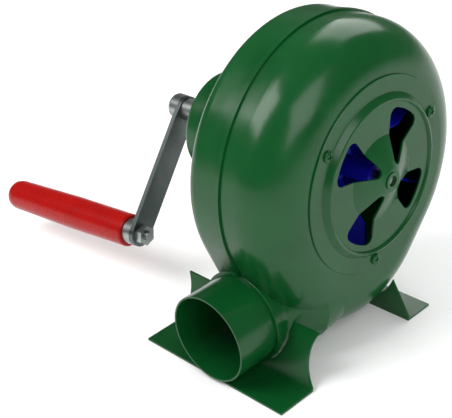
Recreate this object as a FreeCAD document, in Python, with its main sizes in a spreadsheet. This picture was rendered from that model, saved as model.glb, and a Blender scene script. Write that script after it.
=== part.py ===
import FreeCAD, Part
import math
import os
from types import SimpleNamespace

import Sketcher

# Hand-cranked centrifugal blower: a pressed sheet-steel casing on two bent
# feet, a paddle impeller on a shaft, a planetary gearbox in a drum, a crank.
# +X runs along the fan axis towards the inlet, -Y is the way the air leaves,
# +Z is up. The origin is on the front foot's underside, in the seam plane of
# the two casing halves.

SIZES = [
    ("axis_height", 98, "fan axis above the floor"),
    ("axis_setback", 85.5, "fan axis behind the origin"),
    ("shell_radius", 82, "casing outline, main circle"),
    ("lower_radius", 67, "casing outline, lower circle of the volute"),
    ("lower_drop", 27, "lower circle's centre below the fan axis"),
    ("lower_shift", 5, "lower circle's centre towards the outlet"),
    ("front_depth", 39, "seam to the outside of the inlet face"),
    ("back_depth", 25, "seam to the outside of the gear face"),
    ("shoulder_radius", 27, "rounding of the inlet half"),
    ("back_rounding", 8, "rounding of the gear half"),
    ("shell_wall", 1, "casing sheet"),
    ("bead_height", 1.2, "rolled seam above the casing"),
    ("bead_width", 3, "rolled seam along the fan axis"),
    ("outlet_radius", 25.6, "outside of the outlet tube"),
    ("outlet_wall", 1, "outlet tube wall"),
    ("outlet_drop", 70, "outlet centre below the fan axis"),
    ("outlet_reach", 98, "outlet mouth ahead of the fan axis"),
    ("outlet_grip", 5, "length of the tube inside the neck"),
    ("tube_clearance", 0.1, "outlet tube in the neck, radial"),
    ("neck_reach", 71.5, "neck end ahead of the fan axis"),
    ("collar_length", 9, "straight end of the neck"),
    ("neck_middle_reach", 42.5, "middle of the neck's taper ahead of the fan axis"),
    ("neck_middle_half_width", 31.4, "neck middle, half width"),
    ("neck_middle_half_height", 26, "neck middle, half height"),
    ("neck_middle_drop", 68, "neck middle's centre below the fan axis"),
    ("neck_root_reach", 15, "where the neck starts inside the casing"),
    ("neck_root_half_width", 31, "neck start, half width"),
    ("neck_root_half_height", 33, "neck start, half height"),
    ("neck_root_drop", 60, "neck start's centre below the fan axis"),
    ("neck_shift", 7, "neck start's and middle's centre towards the inlet"),
    ("lip_height", 0.8, "round lip above the neck"),
    ("lip_length", 4, "round lip along the neck"),
    ("lip_rounding", 0.36, "round lip's outer edges"),
    ("inlet_hole_radius", 44, "hole in the inlet face behind the cover"),
    ("cover_radius", 56, "inlet cover, outside"),
    ("cover_rise", 4, "inlet cover's raised rim above the casing"),
    ("rim_radius", 43.4, "crest of the raised rim"),
    ("recess_radius", 42, "recessed middle of the cover"),
    ("recess_face", 2.6, "recessed middle above the casing"),
    ("cone_radius", 24, "foot of the cover's cone"),
    ("cone_top_radius", 6.5, "top of the cover's cone"),
    ("cone_rise", 7, "cone above the recessed middle"),
    ("cover_wall", 1, "cover sheet"),
    ("cover_flange_radius", 46.6, "inside of the cover's flat flange"),
    ("cover_edge", 0.3, "chamfer on the cover's outer edge and rim"),
    ("rim_crest", 0.7, "width of the rim's outer slope at its top"),
    ("rim_inner_drop", 0.4, "rim's inner slope, down from the crest"),
    ("rim_inner_step", 0.8, "rim's inner slope, in from the crest"),
    ("crest_inside", 0.3, "underside of the crest, out from the crest"),
    ("crest_thinning", 0.2, "sheet at the crest thicker than the cover"),
    ("recess_inside", 0.8, "underside of the recess's edge, out from it"),
    ("cone_foot_inside", 0.6, "inside of the cone's foot, in from its outside"),
    ("cone_top_inside", 0.4, "inside of the cone's top, in from its outside"),
    ("window_corner_place", 34, "air window, outer corners' centres from the axis"),
    ("window_corner_turn", 12.6, "air window, outer corners from its middle, degrees"),
    ("window_corner_radius", 4.5, "air window, outer corners"),
    ("window_inner_place", 12.5, "air window, inner end's centre from the axis"),
    ("window_inner_radius", 3.2, "air window, inner end"),
    ("window_swirl", 4, "air window, twist between its ends, degrees"),
    ("window_turn", 56, "first air window from +Y, degrees"),
    ("cover_screw_place", 50, "cover screws from the axis"),
    ("cover_screw_turn", 25, "first cover screw from +Y, degrees"),
    ("screw_radius", 1.5, "small screws, shank"),
    ("screw_head_radius", 3.2, "small screws, head"),
    ("screw_head_height", 1.8, "small screws, head"),
    ("screw_length", 7, "small screws, under the head"),
    ("screw_slack", 0.15, "small screws in their holes, radial"),
    ("screw_hole_depth", 8, "screw holes on each side of their surface"),
    ("foot_sheet", 1.2, "foot sheet"),
    ("front_foot_length", 105, "front foot along the fan axis"),
    ("rear_foot_length", 99, "rear foot along the fan axis"),
    ("front_foot_shift", -3.5, "front foot's middle from the seam plane"),
    ("front_foot_width", 25, "front foot's flange"),
    ("rear_foot_width", 20, "rear foot's flange"),
    ("front_foot_setback", -70, "front foot's web behind the fan axis"),
    ("rear_foot_setback", 14, "rear foot's web behind the fan axis"),
    ("front_web_height", 31, "top of the front web above the floor"),
    ("front_web_lean", 11, "front web's lean backwards over its height"),
    ("rear_web_height", 27, "top of the rear web above the floor"),
    ("front_web_waist", 6.5, "hollow of the front web's sides, half way up"),
    ("rear_web_waist", 7.5, "hollow of the rear web's sides, half way up"),
    ("front_web_taper", 2, "front web narrower at its top, each side"),
    ("rear_web_taper", 14, "rear web narrower at its top, each side"),
    ("web_straight", 2, "straight side of a web above the floor"),
    ("waist_place", 0.6, "height of a web's waist, share of the web"),
    ("foot_gap", 0.05, "feet and lip to casing"),
    ("drum_radius", 32.5, "gearbox drum, outside"),
    ("drum_wall", 1.5, "gearbox drum wall"),
    ("drum_length", 53, "gearbox drum"),
    ("drum_rounding", 2.5, "gearbox drum's outer corner"),
    ("corner_share", 0.3, "middle of a rounded corner, share of its radius"),
    ("flange_radius", 39.5, "gearbox drum's flange"),
    ("flange_thickness", 1.5, "gearbox drum's flange"),
    ("flange_screw_place", 36, "gearbox screws from the axis"),
    ("gear_module", 1, "size of the gear teeth"),
    ("sun_teeth", 12, "pinion on the fan shaft"),
    ("planet_teeth", 21, "planet gears"),
    ("ring_teeth", 54, "ring gear in the drum"),
    ("tooth_slack", 0.12, "thinning of each tooth flank"),
    ("tooth_top", 0.85, "tooth outside the pitch circle, in modules"),
    ("tooth_root", 1.15, "tooth inside the pitch circle, in modules"),
    ("pressure_angle", 20, "gear teeth's pressure angle, degrees"),
    ("planet_width", 10, "planet gears along the axis"),
    ("ring_width", 13, "ring gear along the axis"),
    ("ring_inset", 19, "ring gear from the casing's gear face"),
    ("ring_clearance", 0.05, "ring gear in the drum, radial"),
    ("pin_radius", 2.5, "planet pins"),
    ("running_clearance", 0.05, "shafts in their bushes, radial"),
    ("carrier_radius", 21.5, "planet carrier disc"),
    ("carrier_thickness", 3, "planet carrier disc"),
    ("axial_gap", 0.5, "side play between turning pieces"),
    ("fan_shaft_radius", 3, "fan shaft"),
    ("bush_radius", 5.5, "fan shaft bushes, outside"),
    ("bush_length", 7, "fan shaft's inner bush"),
    ("bearing_plate_thickness", 3, "plate behind the gears"),
    ("bearing_plate_inset", 4, "bearing plate from the casing's gear face"),
    ("back_hole_radius", 8, "shaft hole in the gear face"),
    ("nose_bush_radius", 5, "bush in the cover's cone"),
    ("nose_bush_length", 7, "bush in the cover's cone"),
    ("nose_bush_proud", 0.8, "bush proud of the cone"),
    ("shaft_nose_recess", 1.5, "fan shaft's end inside the nose bush"),
    ("impeller_radius", 66, "impeller, outside"),
    ("impeller_back", 14, "impeller's back disc behind the seam"),
    ("impeller_sheet", 1.2, "impeller sheet"),
    ("impeller_depth", 44, "impeller blades along the axis"),
    ("impeller_hub_radius", 10, "impeller hub"),
    ("impeller_hub_length", 30, "impeller hub"),
    ("impeller_blades", 6, "number of blades"),
    ("eye_radius", 22, "blades' notch near the cover's cone"),
    ("eye_depth", 9, "depth of that notch"),
    ("eye_slope", 12, "notch's slope outwards from its bottom"),
    ("blade_inset", 1, "blades' ends inside the back disc's edge"),
    ("fan_sleeve_radius", 6, "sleeve between hub and nose bush"),
    ("fan_sleeve_length", 24, "sleeve between hub and nose bush"),
    ("hub_setback", 3, "impeller hub behind the back disc"),
    ("bush_setback", 2, "inner bush behind the bearing plate"),
    ("shaft_seat", 2, "bottom of the round head over the crank shaft"),
    ("crank_shaft_radius", 5, "crank shaft"),
    ("crank_bush_radius", 8, "crank shaft's bush, outside"),
    ("crank_bush_inner", 12, "crank shaft's bush inside the drum"),
    ("crank_bush_outer", 6, "crank shaft's bush outside the drum"),
    ("spacer_radius", 7, "sleeve between bush and arm"),
    ("spacer_length", 24, "sleeve between bush and arm"),
    ("arm_thickness", 3, "crank arm"),
    ("arm_width", 16, "crank arm"),
    ("arm_length", 83, "crank arm, shaft to handle"),
    ("arm_lean", 5.4, "crank arm's lean towards the casing, degrees"),
    ("arm_turn", 228.5, "crank arm from +Y at rest, degrees"),
    ("hub_head_radius", 8, "round head outside the arm"),
    ("hub_head_length", 8, "round head outside the arm"),
    ("hub_head_rounding", 1.5, "round head's edge"),
    ("bolt_radius", 3, "handle bolt"),
    ("bolt_nut_across", 11, "handle bolt's nut, across its flats"),
    ("bolt_nut_height", 5, "handle bolt's nut"),
    ("bolt_tail", 2.5, "handle bolt beyond its nut"),
    ("ferrule_radius", 8.2, "ferrule between arm and grip"),
    ("ferrule_length", 6, "ferrule between arm and grip"),
    ("grip_length", 116, "handle grip"),
    ("grip_radius", 10.7, "handle grip, largest"),
    ("grip_neck_radius", 10.3, "handle grip next to the ferrule"),
    ("grip_tip_radius", 9.9, "handle grip before its rounded tip"),
    ("grip_tip_rounding", 8, "handle grip's rounded tip"),
    ("grip_bore_depth", 104, "bore of the grip"),
    ("grip_bore_spare", 2, "bore of the grip beyond the bolt's end"),
    ("grip_edge", 1, "chamfer of the grip next to the ferrule"),
    ("grip_swell", 0.45, "grip's thickest place, share of its length"),
    ("grip_play", 0.3, "side play of the grip at the ferrule"),
]

doc = FreeCAD.newDocument("hand_crank_blower")
sheet = doc.addObject("Spreadsheet::Sheet", "Sizes")
for row, (alias, value, note) in enumerate(SIZES, start=1):
    sheet.set("A%d" % row, note)
    sheet.set("B%d" % row, str(value))
    sheet.setAlias("B%d" % row, alias)
doc.recompute()
d = SimpleNamespace(**{alias: value for alias, value, note in SIZES})

X_AXIS = FreeCAD.Vector(1, 0, 0)
Y_AXIS = FreeCAD.Vector(0, 1, 0)
Z_AXIS = FreeCAD.Vector(0, 0, 1)
ALONG_X = FreeCAD.Rotation(Z_AXIS, X_AXIS)
ALONG_Y = FreeCAD.Rotation(Z_AXIS, Y_AXIS)
THIRDS = (0, 120, 240)
QUARTERS = (0, 90, 180, 270)
NEARLY = 1e-6
CUTTER_MARGIN = 1
nodes = {}


def at(x, y, z):
    """A point given from the fan axis, in the part's own frame."""
    return FreeCAD.Vector(x, d.axis_setback + y, d.axis_height + z)


def polar(x, radius, degrees):
    """A point at a radius and an angle from +Y around the fan axis."""
    angle = math.radians(degrees)
    return at(x, radius * math.cos(angle), radius * math.sin(angle))


def keep(label, piece):
    """Name a finished sub-part."""
    piece.Label = label
    nodes[label] = piece
    return piece


def cylinder(name, radius, length, placement):
    """A cylinder whose radius and length are expressions of the sizes."""
    piece = doc.addObject("Part::Cylinder", name)
    piece.setExpression("Radius", radius)
    piece.setExpression("Height", length)
    piece.Placement = placement
    return piece


def axial(x, y=0, z=0):
    """A placement that starts at x and runs along the fan axis."""
    return FreeCAD.Placement(at(x, y, z), ALONG_X)


def cut(name, base, tool):
    piece = doc.addObject("Part::Cut", name)
    piece.Base = base
    piece.Tool = tool
    return piece


def fused(name, pieces):
    piece = doc.addObject("Part::MultiFuse", name)
    piece.Shapes = pieces
    return piece


def shaped(name, shape, placement=None):
    """A piece whose surface is worked out from the sizes in code."""
    piece = doc.addObject("Part::Feature", name)
    piece.Shape = shape
    if placement:
        piece.Placement = placement
    return piece


def plane_of(body, role):
    return [item for item in body.Origin.OriginFeatures if item.Role == role][0]


def outline_sketch(body, name, role, points):
    """A closed outline; every corner is held by two expressions."""
    sketch = body.newObject("Sketcher::SketchObject", name)
    sketch.AttachmentSupport = [(plane_of(body, role), "")]
    sketch.MapMode = "FlatFace"
    values = [(sheet.evalExpression(across), sheet.evalExpression(up)) for across, up in points]
    places = [FreeCAD.Vector(across, up, 0) for across, up in values]
    for start, end in zip(places, places[1:] + places[:1]):
        sketch.addGeometry(Part.LineSegment(start, end), False)
    count = len(points)
    for index in range(count):
        sketch.addConstraint(Sketcher.Constraint("Coincident", index, 2, (index + 1) % count, 1))
    for index, (across, up) in enumerate(points):
        place = places[index]
        for kind, expression, value in (("DistanceX", across, place.x), ("DistanceY", up, place.y)):
            number = sketch.addConstraint(Sketcher.Constraint(kind, -1, 1, index, 1, value))
            if expression != "0":
                sketch.setExpression("Constraints[%d]" % number, expression)
    return sketch


def turned(label, points, placement):
    """A turned piece: an outline of (along, radius) spun about its local X."""
    body = doc.addObject("PartDesign::Body", label + "_body")
    sketch = outline_sketch(body, label + "_outline", "XY_Plane", points)
    spin = body.newObject("PartDesign::Revolution", label + "_spin")
    spin.Profile = sketch
    spin.ReferenceAxis = (sketch, ["H_Axis"])
    spin.Angle = 360
    sketch.Visibility = False
    body.Placement = placement
    return body


# Where things lie along the fan axis.
inlet_face = d.front_depth
gear_face = -d.back_depth
drum_end = gear_face - d.drum_length
bush_end = drum_end - d.crank_bush_outer
arm_face = bush_end - d.axial_gap - d.spacer_length
arm_middle = arm_face - d.arm_thickness / 2
ring_start = gear_face - d.ring_inset
gear_middle = ring_start - d.ring_width / 2
carrier_face = gear_middle - d.planet_width / 2 - d.axial_gap
pitch = d.gear_module / 2
planet_place = pitch * (d.sun_teeth + d.planet_teeth)
neck_inner = d.outlet_radius + d.tube_clearance
neck_outer = neck_inner + d.shell_wall


def casing_outline(inset):
    """The casing's outline: a big circle and a lower one with their tangents."""
    big = d.shell_radius - inset
    low = d.lower_radius - inset
    apart = math.hypot(d.lower_shift, d.lower_drop)
    towards = math.atan2(-d.lower_drop, -d.lower_shift)
    spread = math.acos((big - low) / apart)
    lower_centre = at(0, -d.lower_shift, -d.lower_drop)

    def on(centre, radius, angle):
        return centre + FreeCAD.Vector(0, math.cos(angle), math.sin(angle)) * radius

    front, back = towards - spread, towards + spread
    corners = [
        on(at(0, 0, 0), big, back),
        on(at(0, 0, 0), big, towards + math.pi),
        on(at(0, 0, 0), big, front),
        on(lower_centre, low, front),
        on(lower_centre, low, towards),
        on(lower_centre, low, back),
    ]
    edges = [
        Part.Arc(corners[0], corners[1], corners[2]).toShape(),
        Part.LineSegment(corners[2], corners[3]).toShape(),
        Part.Arc(corners[3], corners[4], corners[5]).toShape(),
        Part.LineSegment(corners[5], corners[0]).toShape(),
    ]
    return Part.Wire(edges)


def drum_form(inset):
    """The casing's drum with both of its rounded edges."""
    front = d.front_depth - inset
    back = -d.back_depth + inset
    face = Part.Face(casing_outline(inset))
    face.translate(X_AXIS * back)
    drum = face.extrude(X_AXIS * (front - back))

    def rim(x):
        boxes = [(edge, edge.BoundBox) for edge in drum.Edges]
        return [edge for edge, box in boxes if abs(box.XMin - x) < NEARLY and box.XLength < NEARLY]

    drum = drum.makeFillet(d.shoulder_radius - inset, rim(front))
    return drum.makeFillet(max(d.back_rounding - inset, 1), rim(back))


def oval_ring(place, half_width, half_height):
    """A closed oval across Y, from a unit circle stretched both ways."""
    stretch = FreeCAD.Matrix()
    stretch.scale(half_width, 1, half_height)
    stretch.move(place)
    return Part.Wire([Part.makeCircle(1, FreeCAD.Vector(), Y_AXIS).transformGeometry(stretch)])


def neck_form(inset):
    """The neck: ovals as wide as the casing that narrow to a round collar."""
    radius = neck_outer - inset
    collar_start = at(0, d.collar_length - d.neck_reach, -d.outlet_drop)
    middle = at(d.neck_shift, -d.neck_middle_reach, -d.neck_middle_drop)
    root = at(d.neck_shift, -d.neck_root_reach, -d.neck_root_drop)
    wires = [
        oval_ring(root, d.neck_root_half_width - inset, d.neck_root_half_height - inset),
        oval_ring(middle, d.neck_middle_half_width - inset, d.neck_middle_half_height - inset),
        oval_ring(collar_start, radius, radius),
    ]
    taper = Part.makeLoft(wires, True, True)
    collar = Part.makeCylinder(radius, d.collar_length, at(0, -d.neck_reach, -d.outlet_drop), Y_AXIS)
    return taper.fuse(collar)


def casing_form(inset):
    return drum_form(inset).fuse(neck_form(inset))


# Casing: two deep-drawn halves that meet in the seam plane, hollow inside.
outside = casing_form(0)
mouth_start = at(0, -d.neck_reach - CUTTER_MARGIN, -d.outlet_drop)
mouth = Part.makeCylinder(neck_inner, d.collar_length, mouth_start, Y_AXIS)
hollow = outside.cut(casing_form(d.shell_wall)).cut(mouth)
reach = 400
front_side = Part.makeBox(reach, 2 * reach, 2 * reach, FreeCAD.Vector(0, -reach, -reach))
back_side = front_side.translated(X_AXIS * -reach)
front_half = shaped("front_half", hollow.common(front_side))
back_half = shaped("back_half", hollow.common(back_side))


def screw_places(radius, first, x):
    return [polar(x, radius, first + turn) for turn in THIRDS]


def drilled(name, base, places):
    """Screw holes along the fan axis, on both sides of each place."""
    radius = "Sizes.screw_radius + Sizes.screw_slack"
    holes = []
    for index, place in enumerate(places):
        start = FreeCAD.Placement(place - X_AXIS * d.screw_hole_depth, ALONG_X)
        holes.append(cylinder("%s_hole_%d" % (name, index), radius, "2 * Sizes.screw_hole_depth", start))
    return cut(name, base, fused(name + "_holes", holes))


cover_screws_at = screw_places(d.cover_screw_place, d.cover_screw_turn, inlet_face)
inlet_hole = cylinder("inlet_hole", "Sizes.inlet_hole_radius", "Sizes.front_depth", axial(d.front_depth / 2))
front_open = cut("front_open", front_half, inlet_hole)
keep("inlet_shell", drilled("inlet_shell", front_open, cover_screws_at))

flange_screws_at = screw_places(d.flange_screw_place, 90, gear_face)
shaft_hole = cylinder("shaft_hole", "Sizes.back_hole_radius", "Sizes.back_depth", axial(-1.5 * d.back_depth))
back_open = cut("back_open", back_half, shaft_hole)
keep("gear_shell", drilled("gear_shell", back_open, flange_screws_at))

# Rolled seam: a low band round the casing and the neck, up to the lip.
band = Part.makeBox(d.bead_width, 2 * reach, 2 * reach, FreeCAD.Vector(-d.bead_width / 2, -reach, -reach))
bead = casing_form(-d.bead_height).common(band).cut(outside)
lip_start = d.neck_reach - d.lip_length
lip_edge = neck_outer + d.foot_gap + d.lip_height
lip_top = lip_edge + d.foot_gap - d.outlet_drop
beyond = Part.makeBox(reach, reach, reach, at(-reach / 2, -lip_start - reach, lip_top - reach))
keep("seam_bead", shaped("seam_bead", bead.cut(beyond).removeSplitter()))


# Outlet: a round lip on the neck's end, and the tube that is pushed into it.
def outlet_ring(name, inner, outer, length, reach_name):
    """A ring on the outlet's centre line, from its far end backwards."""
    start = FreeCAD.Placement(at(0, -reach_name, -d.outlet_drop), ALONG_Y)
    ring = cylinder(name + "_outer", outer, length, start)
    return cut(name, ring, cylinder(name + "_inner", inner, length, start))


lip_inside = "Sizes.outlet_radius + Sizes.tube_clearance + Sizes.shell_wall + Sizes.foot_gap"
lip_outside = lip_inside + " + Sizes.lip_height"
lip = outlet_ring("lip_ring", lip_inside, lip_outside, "Sizes.lip_length", d.neck_reach)
doc.recompute()
rounding = doc.addObject("Part::Fillet", "lip_rounding")
rounding.Base = lip
round_edges = [
    number
    for number, edge in enumerate(lip.Shape.Edges, start=1)
    if edge.Curve.TypeId == "Part::GeomCircle" and abs(edge.Curve.Radius - lip_edge) < NEARLY
]
rounding.Edges = [(number, d.lip_rounding, d.lip_rounding) for number in round_edges]
keep("outlet_lip", cut("outlet_lip", rounding, shaped("drum_at_lip", drum_form(-d.foot_gap))))
tube_length = "Sizes.outlet_reach - Sizes.neck_reach + Sizes.outlet_grip"
tube_bore = "Sizes.outlet_radius - Sizes.outlet_wall"
outlet_tube = outlet_ring("outlet_tube", tube_bore, "Sizes.outlet_radius", tube_length, d.outlet_reach)
keep("outlet_tube", outlet_tube)

# Inlet cover: a pressed disc with a raised rim, a recessed middle with four
# air windows, and a cone that holds the shaft's outer bush.
cone_top_underside = "Sizes.recess_face + Sizes.cone_rise - Sizes.cover_wall"
cover_outline = [
    ("0", "Sizes.cover_radius"),
    ("Sizes.cover_wall - Sizes.cover_edge", "Sizes.cover_radius"),
    ("Sizes.cover_wall", "Sizes.cover_radius - Sizes.cover_edge"),
    ("Sizes.cover_wall", "Sizes.cover_flange_radius"),
    ("Sizes.cover_rise - Sizes.cover_edge", "Sizes.rim_radius + Sizes.rim_crest"),
    ("Sizes.cover_rise", "Sizes.rim_radius"),
    ("Sizes.cover_rise - Sizes.rim_inner_drop", "Sizes.rim_radius - Sizes.rim_inner_step"),
    ("Sizes.recess_face", "Sizes.recess_radius"),
    ("Sizes.recess_face", "Sizes.cone_radius"),
    ("Sizes.recess_face + Sizes.cone_rise", "Sizes.cone_top_radius"),
    ("Sizes.recess_face + Sizes.cone_rise", "Sizes.nose_bush_radius"),
    (cone_top_underside, "Sizes.nose_bush_radius"),
    (cone_top_underside, "Sizes.cone_top_radius - Sizes.cone_top_inside"),
    ("Sizes.recess_face - Sizes.cover_wall", "Sizes.cone_radius - Sizes.cone_foot_inside"),
    ("Sizes.recess_face - Sizes.cover_wall", "Sizes.recess_radius + Sizes.recess_inside"),
    ("Sizes.cover_rise - Sizes.cover_wall - Sizes.crest_thinning", "Sizes.rim_radius + Sizes.crest_inside"),
    ("0", "Sizes.cover_flange_radius + Sizes.cover_edge"),
]
cover_at = FreeCAD.Placement(at(inlet_face, 0, 0), FreeCAD.Rotation())
cover_blank = turned("cover_blank", cover_outline, cover_at)


def window(turn):
    """An air window: a rounded wedge, wide near the rim and small near the cone."""
    corner_radius = d.window_corner_radius
    inner_radius = d.window_inner_radius
    inner = polar(0, d.window_inner_place, turn - d.window_swirl)
    axis = at(0, 0, 0)
    sides = []
    for side in (1, -1):
        corner = polar(0, d.window_corner_place, turn + side * d.window_corner_turn)
        link = inner - corner
        towards = math.atan2(link.z, link.y)
        spread = side * math.acos((corner_radius - inner_radius) / link.Length)
        across = FreeCAD.Vector(0, math.cos(towards - spread), math.sin(towards - spread))
        outwards = (corner - axis).normalize()
        rounding = (across + outwards).normalize()
        tip = corner + outwards * corner_radius
        start = corner + across * corner_radius
        end = inner + across * inner_radius
        sides.append((tip, corner + rounding * corner_radius, start, end))
    (tip, bend, start, end), (tip_2, bend_2, start_2, end_2) = sides
    inner_tip = inner + (axis - inner).normalize() * inner_radius
    outer_tip = polar(0, d.window_corner_place + corner_radius, turn)
    edges = [
        Part.Arc(tip, bend, start).toShape(),
        Part.LineSegment(start, end).toShape(),
        Part.Arc(end, inner_tip, end_2).toShape(),
        Part.LineSegment(end_2, start_2).toShape(),
        Part.Arc(start_2, bend_2, tip_2).toShape(),
        Part.Arc(tip_2, outer_tip, tip).toShape(),
    ]
    return Part.Face(Part.Wire(edges)).extrude(X_AXIS * 2 * d.front_depth)


windows = [shaped("window_%d" % turn, window(d.window_turn + turn)) for turn in QUARTERS]
cover_cut = cut("cover_cut", cover_blank, fused("windows", windows))
keep("inlet_cover", drilled("inlet_cover", cover_cut, cover_screws_at))


def screws(label, places, outwards):
    """Small pan-head screws on one circle, as one group."""
    turn = ALONG_X if outwards > 0 else FreeCAD.Rotation(Z_AXIS, -X_AXIS)
    bodies = []
    for index, place in enumerate(places):
        way = X_AXIS * outwards
        shank_start = FreeCAD.Placement(place - way * d.screw_length, turn)
        head_start = FreeCAD.Placement(place, turn)
        name = "%s_%d" % (label, index)
        shank = cylinder(name + "_shank", "Sizes.screw_radius", "Sizes.screw_length", shank_start)
        head = cylinder(name + "_head", "Sizes.screw_head_radius", "Sizes.screw_head_height", head_start)
        bodies.append(fused(name, [shank, head]))
    group = doc.addObject("Part::Compound", label)
    group.Links = bodies
    return keep(label, group)


screw_seat = d.cover_wall + d.foot_gap
screws("cover_screws", [place + X_AXIS * screw_seat for place in cover_screws_at], 1)

# Feet: bent sheet, a flange on the floor and a web that is cut to the casing.
room_start = at(0, -d.neck_reach - CUTTER_MARGIN / 2, -d.outlet_drop)
lip_room = Part.makeCylinder(lip_edge + d.foot_gap, d.lip_length + CUTTER_MARGIN, room_start, Y_AXIS)
saddle = shaped("saddle", casing_form(-d.bead_height - d.foot_gap).fuse(lip_room))


def foot(label, length, shift, width, web_y, flange_way, lean, height, waist, taper):
    """An angle of sheet along the fan axis, hollowed at its sides."""
    sheet_wall = d.foot_sheet
    profile = [
        (web_y + flange_way * width, 0),
        (web_y, 0),
        (web_y + lean, height),
        (web_y + lean + flange_way * sheet_wall, height),
        (web_y + flange_way * sheet_wall, sheet_wall),
        (web_y + flange_way * width, sheet_wall),
    ]
    places = [FreeCAD.Vector(shift - length / 2, d.axis_setback + y, z) for y, z in profile]
    angle = Part.Face(Part.makePolygon(places + places[:1])).extrude(X_AXIS * length)
    top = height + CUTTER_MARGIN
    trims = []
    for side in (-1, 1):
        edge = shift + side * length / 2
        beyond_edge = edge + side * sheet_wall
        corner = FreeCAD.Vector(edge, 0, d.web_straight)
        hollow_point = FreeCAD.Vector(edge - side * waist, 0, d.waist_place * height)
        inner = FreeCAD.Vector(edge - side * taper, 0, top)
        arc = Part.Arc(corner, hollow_point, inner).toShape()
        outer = FreeCAD.Vector(beyond_edge, 0, top)
        low = FreeCAD.Vector(beyond_edge, 0, d.web_straight)
        straight = [Part.makeLine(inner, outer), Part.makeLine(outer, low), Part.makeLine(low, corner)]
        trim = Part.Face(Part.Wire([arc] + straight))
        trim.translate(Y_AXIS * -reach / 2)
        trims.append(trim.extrude(Y_AXIS * reach))
    blank = shaped(label + "_blank", angle.cut(trims[0]).cut(trims[1]))
    return keep(label, cut(label, blank, saddle))


foot(
    "front_foot", d.front_foot_length, d.front_foot_shift, d.front_foot_width, d.front_foot_setback, -1,
    d.front_web_lean, d.front_web_height, d.front_web_waist, d.front_web_taper,
)
foot(
    "rear_foot", d.rear_foot_length, 0, d.rear_foot_width, d.rear_foot_setback, 1,
    0, d.rear_web_height, d.rear_web_waist, d.rear_web_taper,
)

# Gearbox drum: a drawn cup with a flange, on the casing's gear face.
drum_corner = "Sizes.drum_rounding * Sizes.corner_share"
drum_outline = [
    ("0", "Sizes.crank_bush_radius"),
    ("0", "Sizes.drum_radius - Sizes.drum_rounding"),
    (drum_corner, "Sizes.drum_radius - " + drum_corner),
    ("Sizes.drum_rounding", "Sizes.drum_radius"),
    ("Sizes.drum_length - Sizes.flange_thickness", "Sizes.drum_radius"),
    ("Sizes.drum_length - Sizes.flange_thickness", "Sizes.flange_radius"),
    ("Sizes.drum_length", "Sizes.flange_radius"),
    ("Sizes.drum_length", "Sizes.drum_radius - Sizes.drum_wall"),
    ("Sizes.drum_wall", "Sizes.drum_radius - Sizes.drum_wall"),
    ("Sizes.drum_wall", "Sizes.crank_bush_radius"),
]
drum_blank = turned("drum_blank", drum_outline, FreeCAD.Placement(at(drum_end, 0, 0), FreeCAD.Rotation()))
keep("gearbox_drum", drilled("gearbox_drum", drum_blank, flange_screws_at))
flange_seats = [place - X_AXIS * d.flange_thickness for place in flange_screws_at]
screws("gearbox_screws", flange_seats, -1)


def tube(name, radius, bore, length, x):
    """A round tube along the fan axis."""
    outer = cylinder(name + "_outer", radius, length, axial(x))
    return cut(name, outer, cylinder(name + "_bore", bore, length, axial(x)))


# Bearing plate and bushes that carry the fan shaft and the crank shaft.
shaft_bore = "Sizes.fan_shaft_radius + Sizes.running_clearance"
plate_x = gear_face - d.bearing_plate_inset - d.bearing_plate_thickness
in_drum = "Sizes.drum_radius - Sizes.drum_wall - Sizes.ring_clearance"
plate_wall = "Sizes.bearing_plate_thickness"
keep("bearing_plate", tube("bearing_plate", in_drum, "Sizes.bush_radius", plate_wall, plate_x))
bush_x = plate_x - d.bush_setback
keep("inner_bush", tube("inner_bush", "Sizes.bush_radius", shaft_bore, "Sizes.bush_length", bush_x))
nose_end = inlet_face + d.recess_face + d.cone_rise + d.nose_bush_proud
nose_start = nose_end - d.nose_bush_length
nose_length = "Sizes.nose_bush_length"
keep("nose_bush", tube("nose_bush", "Sizes.nose_bush_radius", shaft_bore, nose_length, nose_start))
crank_bore = "Sizes.crank_shaft_radius + Sizes.running_clearance"
crank_bush_length = "Sizes.crank_bush_outer + Sizes.crank_bush_inner"
keep("crank_bush", tube("crank_bush", "Sizes.crank_bush_radius", crank_bore, crank_bush_length, bush_end))


def tooth_points(teeth, addendum, dedendum, thinning):
    """Half a tooth: root, start, middle and tip of its involute flank."""
    pitch_radius = pitch * teeth
    base = pitch_radius * math.cos(math.radians(d.pressure_angle))
    tip = pitch_radius + addendum * d.gear_module
    root = pitch_radius - dedendum * d.gear_module

    def involute(radius):
        ratio = min(base / radius, 1)
        return math.tan(math.acos(ratio)) - math.acos(ratio)

    half = math.pi / (2 * teeth) - thinning / pitch_radius + involute(pitch_radius)
    start = max(base, root)
    middle = (start + tip) / 2
    return root, [(radius, half - involute(radius)) for radius in (start, middle, tip)]


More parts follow.
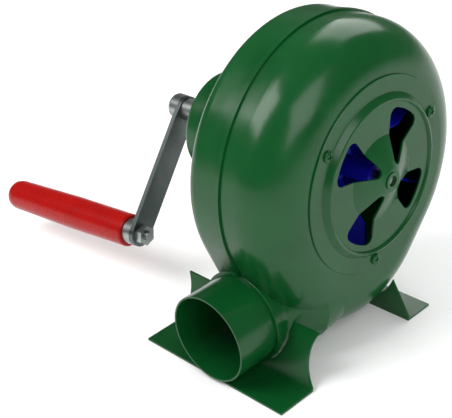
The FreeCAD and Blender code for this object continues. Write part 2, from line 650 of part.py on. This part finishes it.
def gear_face_of(teeth, first, addendum, dedendum, thinning):
    """A toothed disc in the plane across the fan axis, one tooth at first."""
    root, flank = tooth_points(teeth, addendum, dedendum, thinning)

    def on(radius, angle):
        return FreeCAD.Vector(0, radius * math.cos(angle), radius * math.sin(angle))

    edges = []
    step = 2 * math.pi / teeth
    for index in range(teeth):
        middle = math.radians(first) + index * step
        rise = [on(radius, middle - half) for radius, half in flank]
        fall = [on(radius, middle + half) for radius, half in reversed(flank)]
        foot_half = flank[0][1]
        if flank[0][0] > root + NEARLY:
            edges.append(Part.LineSegment(on(root, middle - foot_half), rise[0]).toShape())
        edges.append(Part.Arc(rise[0], rise[1], rise[2]).toShape())
        edges.append(Part.Arc(rise[2], on(flank[2][0], middle), fall[0]).toShape())
        edges.append(Part.Arc(fall[0], fall[1], fall[2]).toShape())
        if flank[0][0] > root + NEARLY:
            edges.append(Part.LineSegment(fall[2], on(root, middle + foot_half)).toShape())
        floor = Part.Arc(
            on(root, middle + foot_half), on(root, middle + step / 2), on(root, middle + step - foot_half)
        )
        edges.append(floor.toShape())
    return Part.Face(Part.Wire(edges))


def toothed(teeth, width, first, addendum=d.tooth_top, dedendum=d.tooth_root, thinning=d.tooth_slack):
    """A toothed disc with its middle plane at x = 0."""
    face = gear_face_of(teeth, first, addendum, dedendum, thinning)
    face.translate(X_AXIS * -width / 2)
    return face.extrude(X_AXIS * width)


# Planetary gears: a ring fixed in the drum, three planets, and a pinion.
first_planet = 90
gears_at = FreeCAD.Placement(at(gear_middle, 0, 0), FreeCAD.Rotation())
ring_blank = cylinder("ring_blank", in_drum, "Sizes.ring_width", axial(ring_start - d.ring_width))
ring_space = toothed(d.ring_teeth, 2 * d.ring_width, first_planet, d.tooth_root, d.tooth_top, -d.tooth_slack)
ring_cutter = shaped("ring_cutter", ring_space, gears_at)
keep("ring_gear", cut("ring_gear", ring_blank, ring_cutter))
sun_blank = shaped("sun_blank", toothed(d.sun_teeth, d.planet_width, first_planet), gears_at)
sun_bore = cylinder(
    "sun_bore", "Sizes.fan_shaft_radius", "2 * Sizes.planet_width", axial(gear_middle - d.planet_width)
)
keep("fan_pinion", cut("fan_pinion", sun_blank, sun_bore))
planet_turns = [first_planet + turn for turn in THIRDS]
for number, turn in enumerate(planet_turns, start=1):
    name = "planet_gear_%d" % number
    centre = polar(gear_middle, planet_place, turn)
    planet_at = FreeCAD.Placement(centre, FreeCAD.Rotation())
    blank = shaped(name + "_blank", toothed(d.planet_teeth, d.planet_width, turn), planet_at)
    hole_start = FreeCAD.Placement(centre - X_AXIS * d.planet_width, ALONG_X)
    hole_radius = "Sizes.pin_radius + Sizes.running_clearance"
    hole = cylinder(name + "_hole", hole_radius, "2 * Sizes.planet_width", hole_start)
    keep(name, cut(name, blank, hole))

# Fan: shaft, hub, paddle impeller and sleeve; the pinion is on its other end.
shaft_start = gear_middle - d.planet_width / 2
shaft_end = nose_end - d.shaft_nose_recess
shaft_length = "%r" % (shaft_end - shaft_start)
keep("fan_shaft", cylinder("fan_shaft", "Sizes.fan_shaft_radius", shaft_length, axial(shaft_start)))
hub_x = -d.impeller_back - d.hub_setback
hub_length = "Sizes.impeller_hub_length"
hub = tube("impeller_hub", "Sizes.impeller_hub_radius", "Sizes.fan_shaft_radius", hub_length, hub_x)
keep("impeller_hub", hub)

impeller = doc.addObject("PartDesign::Body", "impeller_body")
disc_sketch = impeller.newObject("Sketcher::SketchObject", "impeller_disc")
disc_sketch.AttachmentSupport = [(plane_of(impeller, "XY_Plane"), "")]
disc_sketch.MapMode = "FlatFace"
for radius_name in ("impeller_radius", "impeller_hub_radius"):
    radius_value = float(sheet.get(radius_name))
    ring = Part.Circle(FreeCAD.Vector(0, 0, 0), Z_AXIS, radius_value)
    index = disc_sketch.addGeometry(ring, False)
    disc_sketch.addConstraint(Sketcher.Constraint("Coincident", index, 3, -1, 1))
    number = disc_sketch.addConstraint(Sketcher.Constraint("Radius", index, radius_value))
    disc_sketch.setExpression("Constraints[%d]" % number, "Sizes." + radius_name)
disc_pad = impeller.newObject("PartDesign::Pad", "impeller_disc_pad")
disc_pad.Profile = disc_sketch
disc_pad.setExpression("Length", "Sizes.impeller_sheet")
blade_points = [
    ("Sizes.impeller_hub_radius", "Sizes.impeller_sheet / 2"),
    ("Sizes.impeller_radius - Sizes.blade_inset", "Sizes.impeller_sheet / 2"),
    ("Sizes.impeller_radius - Sizes.blade_inset", "Sizes.impeller_depth"),
    ("Sizes.eye_radius + Sizes.eye_slope", "Sizes.impeller_depth"),
    ("Sizes.eye_radius", "Sizes.impeller_depth - Sizes.eye_depth"),
    ("Sizes.impeller_hub_radius", "Sizes.impeller_hub_length - Sizes.hub_setback"),
]
blade_sketch = outline_sketch(impeller, "impeller_blade", "XZ_Plane", blade_points)
blade_pad = impeller.newObject("PartDesign::Pad", "impeller_blade_pad")
blade_pad.Profile = blade_sketch
blade_pad.setExpression("Length", "Sizes.impeller_sheet")
blade_pad.Midplane = True
blades = impeller.newObject("PartDesign::PolarPattern", "impeller_blade_ring")
blades.Originals = [blade_pad]
blades.Axis = (disc_sketch, ["N_Axis"])
blades.Angle = 360
blades.setExpression("Occurrences", "Sizes.impeller_blades")
impeller.Tip = blades
impeller.Placement = axial(-d.impeller_back)
keep("impeller", impeller)
sleeve_x = hub_x + d.impeller_hub_length
sleeve_length = "Sizes.fan_sleeve_length"
fan_sleeve = tube("fan_sleeve", "Sizes.fan_sleeve_radius", "Sizes.fan_shaft_radius", sleeve_length, sleeve_x)
keep("fan_sleeve", fan_sleeve)

# Crank: carrier with three pins, shaft, sleeve, leaning arm and round head.
carrier_back = carrier_face - d.carrier_thickness
carrier_wall = "Sizes.carrier_thickness"
carrier_disc = cylinder("carrier_disc", "Sizes.carrier_radius", carrier_wall, axial(carrier_back))
pins = []
pin_length = "Sizes.carrier_thickness + Sizes.axial_gap + Sizes.planet_width"
for turn in planet_turns:
    pin_start = FreeCAD.Placement(polar(carrier_back, planet_place, turn), ALONG_X)
    pins.append(cylinder("pin_%d" % turn, "Sizes.pin_radius", pin_length, pin_start))
carrier_solid = fused("carrier_solid", [carrier_disc] + pins)
carrier_bore = cylinder("carrier_bore", "Sizes.crank_shaft_radius", carrier_wall, axial(carrier_back))
keep("planet_carrier", cut("planet_carrier", carrier_solid, carrier_bore))

head_end = arm_face - d.arm_thickness - d.hub_head_length
crank_start = head_end + d.shaft_seat
crank_length = "%r" % (carrier_face - crank_start)
keep("crank_shaft", cylinder("crank_shaft", "Sizes.crank_shaft_radius", crank_length, axial(crank_start)))
crank_radius = "Sizes.crank_shaft_radius"
sleeve = tube("crank_sleeve", "Sizes.spacer_radius", crank_radius, "Sizes.spacer_length", arm_face)
keep("crank_sleeve", sleeve)

head_corner = "Sizes.hub_head_rounding * Sizes.corner_share"
head_outline = [
    ("0", "0"),
    ("0", "Sizes.hub_head_radius - Sizes.hub_head_rounding"),
    (head_corner, "Sizes.hub_head_radius - " + head_corner),
    ("Sizes.hub_head_rounding", "Sizes.hub_head_radius"),
    ("Sizes.hub_head_length", "Sizes.hub_head_radius"),
    ("Sizes.hub_head_length", "Sizes.crank_shaft_radius"),
    ("Sizes.shaft_seat", "Sizes.crank_shaft_radius"),
    ("Sizes.shaft_seat", "0"),
]
head_start = FreeCAD.Placement(at(head_end, 0, 0), FreeCAD.Rotation())
keep("crank_head", turned("crank_head", head_outline, head_start))

# The arm's own frame: +Y along the arm, +X towards the casing.
arm_frame = FreeCAD.Placement(at(arm_middle, 0, 0), FreeCAD.Rotation(X_AXIS, d.arm_turn))
lean = FreeCAD.Placement(FreeCAD.Vector(0, d.arm_width / 2, 0), FreeCAD.Rotation(Z_AXIS, -d.arm_lean))
run = d.arm_length - d.arm_width / 2
half_wall = d.arm_thickness / 2
half_width = d.arm_width / 2
wall_start = FreeCAD.Vector(-half_wall, 0, 0)
corner_start = FreeCAD.Vector(-half_wall, 0, -half_width)
run_end = FreeCAD.Vector(0, run, 0)
eye = Part.makeCylinder(half_width, d.arm_thickness, wall_start, X_AXIS)
near_plate = Part.makeBox(d.arm_thickness, half_width, d.arm_width, corner_start)
strip = Part.makeBox(d.arm_thickness, run, d.arm_width, corner_start)
strip_end = Part.makeCylinder(half_width, d.arm_thickness, wall_start + run_end, X_AXIS)
bend = Part.makeCylinder(half_wall, d.arm_width, FreeCAD.Vector(0, 0, -half_width), Z_AXIS)
bolt_hole = Part.makeCylinder(d.bolt_radius, 2 * d.arm_thickness, 2 * wall_start + run_end, X_AXIS)
leaning = strip.fuse([strip_end, bend]).cut(bolt_hole)
leaning.Placement = lean
eye_hole = Part.makeCylinder(d.crank_shaft_radius, 2 * d.arm_thickness, 2 * wall_start, X_AXIS)
arm_shape = eye.fuse([near_plate, leaning]).cut(eye_hole).removeSplitter()
keep("crank_arm", shaped("crank_arm", arm_shape, arm_frame))

# Handle: everything on the bolt's own axis, which points away from the arm.
outwards = FreeCAD.Placement(FreeCAD.Vector(0, run, 0), FreeCAD.Rotation(Z_AXIS, -X_AXIS))
handle_frame = arm_frame.multiply(lean).multiply(outwards)


def on_handle(distance):
    return handle_frame.multiply(FreeCAD.Placement(Z_AXIS * distance, FreeCAD.Rotation()))


def hexagon(across, height):
    """A hexagonal prism on z = 0 with its flats this far apart."""
    radius = across / math.sqrt(3)
    turns = [step * math.pi / 3 for step in range(7)]
    corners = [FreeCAD.Vector(radius * math.cos(turn), radius * math.sin(turn), 0) for turn in turns]
    return Part.Face(Part.makePolygon(corners)).extrude(Z_AXIS * height)


bolt_end = half_wall + d.ferrule_length + d.grip_bore_depth - d.grip_bore_spare
bolt_start = -half_wall - d.bolt_nut_height - d.bolt_tail
bolt_length = "%r" % (bolt_end - bolt_start)
keep("handle_bolt", cylinder("handle_bolt", "Sizes.bolt_radius", bolt_length, on_handle(bolt_start)))
bolt_nut_hole = Part.makeCylinder(d.bolt_radius, d.bolt_nut_height)
nut_shape = hexagon(d.bolt_nut_across, d.bolt_nut_height).cut(bolt_nut_hole)
keep("handle_nut", shaped("handle_nut", nut_shape, on_handle(-half_wall - d.bolt_nut_height)))
ferrule_at = on_handle(half_wall)
ferrule_outer = cylinder("ferrule_outer", "Sizes.ferrule_radius", "Sizes.ferrule_length", ferrule_at)
ferrule_inner = cylinder("ferrule_inner", "Sizes.bolt_radius", "Sizes.ferrule_length", ferrule_at)
keep("handle_ferrule", cut("handle_ferrule", ferrule_outer, ferrule_inner))

grip_bore = "(Sizes.bolt_radius + Sizes.running_clearance)"
tip_along = "Sizes.grip_length - Sizes.grip_tip_rounding * %s"
tip_across = "Sizes.grip_tip_radius - Sizes.grip_tip_rounding * %s"
tip_shares = ((1, 0), (0.6, 0.08), (0.28, 0.3), (0.07, 0.62), (0, 0.95))
tip_outline = [(tip_along % back, tip_across % down) for back, down in tip_shares]
grip_outline = [
    ("0", grip_bore),
    ("0", "Sizes.grip_neck_radius - Sizes.grip_edge"),
    ("Sizes.grip_edge", "Sizes.grip_neck_radius"),
    ("Sizes.grip_length * Sizes.grip_swell", "Sizes.grip_radius"),
    *tip_outline,
    ("Sizes.grip_length", "0"),
    ("Sizes.grip_bore_depth", "0"),
    ("Sizes.grip_bore_depth", grip_bore),
]
grip_turn = FreeCAD.Placement(FreeCAD.Vector(0, 0, 0), FreeCAD.Rotation(X_AXIS, Z_AXIS))
grip_start = on_handle(half_wall + d.ferrule_length + d.grip_play).multiply(grip_turn)
keep("handle_grip", turned("handle_grip", grip_outline, grip_start))

doc.recompute()
for item in doc.Objects:
    if "Invalid" in item.State or "Error" in item.State:
        raise RuntimeError("failed object: " + item.Name)
os.makedirs("parts", exist_ok=True)
for label, piece in nodes.items():
    shape = piece.Shape
    if shape.isNull() or not shape.isValid() or not shape.Solids:
        raise RuntimeError("bad shape: " + label)
    shape.exportStep("parts/%s.step" % label)
    box = shape.BoundBox
    low = (round(box.XMin, 2), round(box.YMin, 2), round(box.ZMin, 2))
    high = (round(box.XMax, 2), round(box.YMax, 2), round(box.ZMax, 2))
    print(label, len(shape.Solids), "solids", round(shape.Volume), "mm3", low, high)
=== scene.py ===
import math

import bpy
import numpy as np
from mathutils import Matrix, Vector


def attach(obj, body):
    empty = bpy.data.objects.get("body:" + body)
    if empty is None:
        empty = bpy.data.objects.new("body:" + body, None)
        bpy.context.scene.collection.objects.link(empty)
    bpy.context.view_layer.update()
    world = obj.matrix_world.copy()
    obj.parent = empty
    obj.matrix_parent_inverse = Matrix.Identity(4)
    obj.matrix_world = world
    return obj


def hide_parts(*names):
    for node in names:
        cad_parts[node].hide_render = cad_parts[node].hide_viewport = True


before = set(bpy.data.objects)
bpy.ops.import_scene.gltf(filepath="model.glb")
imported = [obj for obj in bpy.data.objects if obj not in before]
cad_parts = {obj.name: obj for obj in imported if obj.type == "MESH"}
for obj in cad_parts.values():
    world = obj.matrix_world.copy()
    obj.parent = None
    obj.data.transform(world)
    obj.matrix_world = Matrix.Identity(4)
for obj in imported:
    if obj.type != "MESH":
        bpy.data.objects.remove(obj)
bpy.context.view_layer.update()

# Casing, outlet, feet and gearbox drum.
# Pressed sheet steel under one coat of green brushing enamel: it glints, with
# orange peel about 2 mm across and slow waves in the sheet.


def linear(colour):
    """An sRGB hex colour as linear red, green, blue and an alpha of one."""
    shares = [int(colour[start : start + 2], 16) / 255 for start in (1, 3, 5)]
    return [share / 12.92 if share <= 0.04045 else ((share + 0.055) / 1.055) ** 2.4 for share in shares] + [1]


def add_node(tree, kind, sockets=None, links=None, **settings):
    """Add one node with its settings, its socket values and its links."""
    made = tree.nodes.new(kind)
    for name, value in settings.items():
        setattr(made, name, value)
    for name, value in (sockets or {}).items():
        made.inputs[name].default_value = value
    for name, source in (links or {}).items():
        tree.links.new(source, made.inputs[name])
    return made


def start_material(name):
    """An empty node material and its object coordinates."""
    made = bpy.data.materials.new(name)
    made.use_nodes = True
    made.node_tree.nodes.clear()
    return made, made.node_tree, add_node(made.node_tree, "ShaderNodeTexCoord").outputs["Object"]


def noise(tree, place, millimetres, detail):
    """Soft noise whose features are this many millimetres across."""
    sockets = {"Scale": 1000 / millimetres, "Detail": detail}
    return add_node(tree, "ShaderNodeTexNoise", sockets, {"Vector": place}).outputs["Fac"]


def spread(tree, value, low, high):
    """Noise stretched over a range; it mostly lies between 0.3 and 0.7."""
    sockets = {"From Min": 0.3, "From Max": 0.7, "To Min": low, "To Max": high}
    return add_node(tree, "ShaderNodeMapRange", sockets, {"Value": value}).outputs["Result"]


def two_tone(tree, share, colour, other_colour):
    """One colour that turns into another as the share rises to one."""
    mix = add_node(tree, "ShaderNodeMix", data_type="RGBA")
    mix.inputs[6].default_value = linear(colour)
    mix.inputs[7].default_value = linear(other_colour)
    tree.links.new(share, mix.inputs[0])
    return mix.outputs[2]


def bumped(tree, height, metres, below=None):
    """A bump of this height, laid over the normal of a slower bump."""
    links = {"Height": height}
    if below:
        links["Normal"] = below
    sockets = {"Strength": 1, "Distance": metres}
    return add_node(tree, "ShaderNodeBump", sockets, links).outputs["Normal"]


def finish(tree, sockets, colour, roughness, normal):
    """The surface itself, joined to the material's output."""
    links = {"Base Color": colour, "Roughness": roughness, "Normal": normal}
    surface = add_node(tree, "ShaderNodeBsdfPrincipled", sockets, links)
    add_node(tree, "ShaderNodeOutputMaterial", links={"Surface": surface.outputs["BSDF"]})


def enamel(name, colour, thin_colour, gloss):
    """Brushed enamel: it runs thin in patches, and its skin is never flat."""
    peel_height, wave_height = 0.000012, 0.000312
    made, tree, place = start_material(name)
    patches = noise(tree, place, 38, 3)
    thin_range = {"From Min": 0.35, "From Max": 0.7, "To Max": 0.55}
    thin = add_node(tree, "ShaderNodeMapRange", thin_range, {"Value": patches}).outputs["Result"]
    waves = bumped(tree, noise(tree, place, 22, 1), wave_height)
    skin = bumped(tree, noise(tree, place, 2.2, 2), peel_height, waves)
    sockets = {"IOR": 1.52, "Specular IOR Level": gloss}
    finish(tree, sockets, two_tone(tree, thin, colour, thin_colour), spread(tree, patches, 0.16, 0.28), skin)
    return made


def dress(material, *names):
    """Give carried-over pieces their finish."""
    for name in names:
        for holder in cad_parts[name].material_slots:
            holder.material = material


green_enamel = enamel("green_enamel_on_sheet_steel", "#08441c", "#0f5427", 0.3)
dress(green_enamel, "inlet_shell", "gear_shell", "seam_bead", "outlet_lip", "outlet_tube", "inlet_cover")
dress(green_enamel, "front_foot", "rear_foot", "gearbox_drum", "nose_bush")


# Screws of the cover and of the gearbox drum.
# Cold-headed steel pan heads with a cross recess, painted over with the casing
# and screwed into it; the paint has softened the recess's edges.
def pan_head_screws(name, places, way):
    """Closed screws, one at each place, that point along +X or -X.

    The head's top is a square grid pressed into a disc (each side of the
    square bulges out to the rim). Its height is a shallow dome less a cross:
    two slots whose walls slope, so that the recess is deepest in the middle.
    """
    head_radius, shank_radius, shank_length = 0.0032, 0.0015, 0.007
    edge_height, dome_height = 0.0007, 0.0011
    slot_half_width, slot_wall, slot_half_length, slot_depth = 0.00052, 0.0002, 0.0019, 0.0009
    cells = 32
    line = np.linspace(-1, 1, cells + 1)
    u, v = np.meshgrid(line, line, indexing="ij")
    side = head_radius * u * np.sqrt(1 - v * v / 2)
    rise = head_radius * v * np.sqrt(1 - u * u / 2)
    off_centre = np.minimum((side * side + rise * rise) / head_radius**2, 1)

    def slot(across, along):
        walls = np.clip((slot_half_width - abs(across)) / slot_wall, 0, 1)
        return walls * np.clip((slot_half_length - abs(along)) / (2 * slot_wall), 0, 1)

    cross = np.maximum(slot(side, rise), slot(rise, side))
    height = edge_height + dome_height * np.sqrt(1 - off_centre) - slot_depth * cross
    top = np.stack([height, side, rise], axis=-1).reshape(-1, 3)
    number = np.arange(len(top)).reshape(cells + 1, cells + 1)
    loop = np.concatenate([number[:-1, 0], number[-1, :-1], number[:0:-1, -1], number[0, :0:-1]])
    rim = top[loop] * (0, 1, 1)
    neck = rim * (1, shank_radius / head_radius, shank_radius / head_radius)
    tail = neck - (shank_length, 0, 0)
    points = np.concatenate([top, rim, neck, tail, [(-shank_length, 0, 0)]])
    quads = np.stack([number[:-1, :-1], number[1:, :-1], number[1:, 1:], number[:-1, 1:]], axis=-1)
    faces = quads.reshape(-1, 4).tolist()
    rings = [loop] + [len(top) + step * len(loop) + np.arange(len(loop)) for step in range(3)]
    for upper, lower in zip(rings, rings[1:]):
        faces += np.stack([upper, lower, np.roll(lower, -1), np.roll(upper, -1)], axis=-1).tolist()
    pole = len(points) - 1
    faces += [[int(here), pole, int(after)] for here, after in zip(rings[-1], np.roll(rings[-1], -1))]
    if way < 0:
        faces = [face[::-1] for face in faces]
    placed = [points * (way, 1, 1) + place for place in places]
    firsts = [step * len(points) for step in range(len(places))]
    all_faces = [[index + first for index in face] for first in firsts for face in faces]
    mesh = bpy.data.meshes.new(name)
    mesh.from_pydata(np.concatenate(placed).tolist(), [], all_faces)
    mesh.materials.append(green_enamel)
    piece = bpy.data.objects.new(name, mesh)
    bpy.context.collection.objects.link(piece)
    return piece


def around_fan_axis(x, radius, first):
    """Three places evenly round the fan axis, the first this far from +Y."""
    axis_y, axis_z = 0.0855, 0.098
    turns = [math.radians(first + step) for step in (0, 120, 240)]
    return [(x, axis_y + radius * math.cos(turn), axis_z + radius * math.sin(turn)) for turn in turns]


on_cover = around_fan_axis(x=0.04005, radius=0.05, first=25)
cover_screw_heads = pan_head_screws("cover_screw_set", on_cover, 1)
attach(cover_screw_heads, "root")
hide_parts("cover_screws")
on_drum_flange = around_fan_axis(x=-0.0265, radius=0.036, first=90)
gearbox_screw_heads = pan_head_screws("gearbox_screw_set", on_drum_flange, -1)
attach(gearbox_screw_heads, "root")
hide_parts("gearbox_screws")

# Impeller with its hub and sleeve.
# Folded sheet steel blades on a back disc, welded to a turned hub and dipped in
# a deep blue enamel; the sleeve keeps it off the cover.
blue_enamel = enamel("blue_enamel_on_impeller", "#1212b4", "#1c1cd2", 0.4)
dress(blue_enamel, "impeller", "impeller_hub", "fan_sleeve")


# Crank arm, head and sleeve, and the handle's nut, bolt and ferrule.
# Punched mild steel, zinc plated: a cool grey with soft cloudy reflections and
# fine rolling marks. The arm's plating is coloured a darker grey than the rest.
def plated(name, colour, dull_colour, roughness, grain_mm):
    """A plated or ground metal with cloudy gloss and a fine drawn grain."""
    grain_height, grain_squeeze = 0.00001, 0.12
    made, tree, place = start_material(name)
    clouds = noise(tree, place, 14, 4)
    drawn = {"Scale": (1, grain_squeeze, grain_squeeze)}
    along = add_node(tree, "ShaderNodeMapping", drawn, {"Vector": place}).outputs["Vector"]
    lines = bumped(tree, noise(tree, along, grain_mm, 2), grain_height)
    dullness = spread(tree, clouds, roughness - 0.07, roughness + 0.09)
    finish(tree, {"Metallic": 1}, two_tone(tree, clouds, colour, dull_colour), dullness, lines)
    return made


zinc_plate = plated("zinc_plated_steel", "#b0b5b3", "#8c9290", 0.34, 0.9)
dress(zinc_plate, "crank_head", "crank_sleeve", "handle_bolt", "handle_nut", "handle_ferrule")
# The arm's zinc is given a darker grey than the head, sleeve and handle parts.
darker_zinc = plated("darker_zinc_on_crank_arm", "#6e7674", "#565d5c", 0.36, 0.9)
dress(darker_zinc, "crank_arm")

# Gears, carrier, shafts and bearing plate.
# Cut and ground carbon steel under a film of oil, darker than the zinc, with
# the fine lines that grinding leaves.
gear_steel = plated("oiled_carbon_steel", "#8f9192", "#6c6e70", 0.3, 0.7)
dress(gear_steel, "ring_gear", "fan_pinion", "planet_gear_1", "planet_gear_2", "planet_gear_3")
dress(gear_steel, "planet_carrier", "bearing_plate", "fan_shaft", "crank_shaft")

# Bushes.
# Pressed and sintered bronze powder, matt and grainy, pushed into their seats
# in the bearing plate and in the drum.
bronze = plated("sintered_bronze", "#a9794a", "#8b5f36", 0.48, 0.5)
dress(bronze, "inner_bush", "crank_bush")


# Grip.
# Moulded red polypropylene with a soft gloss and slow sink marks; it turns
# freely on the bolt that runs through it.
def moulded(name, colour, deep_colour):
    """Plastic from a mould: even colour, slow sink marks and a fine haze."""
    sink_height, haze_height = 0.00022, 0.000006
    made, tree, place = start_material(name)
    sink = noise(tree, place, 16, 1)
    haze = noise(tree, place, 0.9, 3)
    skin = bumped(tree, haze, haze_height, bumped(tree, sink, sink_height))
    sockets = {"IOR": 1.49, "Specular IOR Level": 0.22, "Subsurface Weight": 0.05, "Subsurface Scale": 0.002}
    finish(tree, sockets, two_tone(tree, sink, colour, deep_colour), spread(tree, haze, 0.24, 0.36), skin)
    return made


red_plastic = moulded("red_polypropylene", "#a60501", "#920300")
dress(red_plastic, "handle_grip")

# Floor: a sweep of matt white paper, 12 m wide, so that it fills the view and
# keeps the part's shadow.
half_wide = 6
signs = ((-1, -1), (1, -1), (1, 1), (-1, 1))
corners = [(half_wide * along, half_wide * across, 0) for along, across in signs]
floor_mesh = bpy.data.meshes.new("floor")
floor_mesh.from_pydata(corners, [], [(0, 1, 2, 3)])
floor = bpy.data.objects.new("floor", floor_mesh)
bpy.context.collection.objects.link(floor)
paper, paper_tree, paper_place = start_material("white_paper_sweep")
dull_range = {"To Min": 0.85, "To Max": 0.95}
dull_links = {"Value": noise(paper_tree, paper_place, 60, 2)}
dull = add_node(paper_tree, "ShaderNodeMapRange", dull_range, dull_links).outputs["Result"]
white = {"Base Color": linear("#fafafa")}
sheet = add_node(paper_tree, "ShaderNodeBsdfPrincipled", white, {"Roughness": dull})
add_node(paper_tree, "ShaderNodeOutputMaterial", links={"Surface": sheet.outputs["BSDF"]})
floor_mesh.materials.append(paper)

# Surroundings: white where the camera sees them, half as bright as a fill, and
# dim where the enamel mirrors them, so that its reflections come from the lamps.
world = bpy.data.worlds.new("studio")
bpy.context.scene.world = world
world.use_nodes = True
sky = world.node_tree
sky.nodes.clear()
path = add_node(sky, "ShaderNodeLightPath")
backdrop = add_node(sky, "ShaderNodeBackground", {"Color": linear("#ffffff"), "Strength": 1})
fill = add_node(sky, "ShaderNodeBackground", {"Color": linear("#ffffff"), "Strength": 0.5})
mirrored = add_node(sky, "ShaderNodeBackground", {"Color": linear("#ffffff"), "Strength": 0.12})
glossy_links = {0: path.outputs["Is Glossy Ray"], 1: fill.outputs[0], 2: mirrored.outputs[0]}
lit = add_node(sky, "ShaderNodeMixShader", links=glossy_links)
camera_links = {0: path.outputs["Is Camera Ray"], 1: lit.outputs[0], 2: backdrop.outputs[0]}
either = add_node(sky, "ShaderNodeMixShader", links=camera_links)
add_node(sky, "ShaderNodeOutputWorld", links={"Surface": either.outputs[0]})


# Lamps: one broad softbox over the outlet side, a softer one over the inlet
# side and one behind, as in a product photograph.
def lamp(name, place, aim, size, power):
    """A square softbox at a place, turned towards a point."""
    light = bpy.data.lights.new(name, "AREA")
    light.size = size
    light.energy = power
    holder = bpy.data.objects.new(name, light)
    holder.location = place
    holder.rotation_euler = (Vector(aim) - Vector(place)).to_track_quat("-Z", "Y").to_euler()
    bpy.context.collection.objects.link(holder)


lamp("key_softbox", place=(-0.5, -0.75, 1.15), aim=(0, 0.08, 0.09), size=0.8, power=15)
lamp("side_softbox", place=(1.05, -0.2, 0.9), aim=(0, 0.08, 0.09), size=0.85, power=8)
lamp("back_strip", place=(-0.3, 1.0, 1.0), aim=(0, 0.08, 0.1), size=0.9, power=9)

# Camera: the photograph's own viewing angle, solved from the inlet rim, the
# outlet mouth and the feet. The image is 452 pixels wide and 418 high.
yaw, pitch, roll = (math.radians(angle) for angle in (47.3, -29.4, -5))
focal_pixels = 1100
image_wide, image_high = 452, 418
aim_pixel = (383.6, 178)
aim_point = Vector((0.043, 0.0855, 0.098))
aim_distance = 0.5863
sensor_mm = 36
forward = Vector((-math.sin(yaw) * math.cos(pitch), math.cos(yaw) * math.cos(pitch), math.sin(pitch)))
level_right = Vector((math.cos(yaw), math.sin(yaw), 0))
level_up = level_right.cross(forward)
right = level_right * math.cos(roll) + level_up * math.sin(roll)
up = level_up * math.cos(roll) - level_right * math.sin(roll)
across = (aim_pixel[0] - image_wide / 2) / focal_pixels
above = (image_high / 2 - aim_pixel[1]) / focal_pixels
eye = aim_point - (forward + right * across + up * above) * aim_distance
camera_data = bpy.data.cameras.new("camera")
camera_data.sensor_width = sensor_mm
camera_data.lens = sensor_mm * focal_pixels / image_wide
camera_data.clip_start = 0.01
camera = bpy.data.objects.new("camera", camera_data)
turn = Matrix((right, up, -forward)).transposed()
camera.matrix_world = Matrix.Translation(eye) @ turn.to_4x4()
bpy.context.collection.objects.link(camera)
bpy.context.scene.camera = camera
bpy.context.scene.view_settings.view_transform = "Standard"
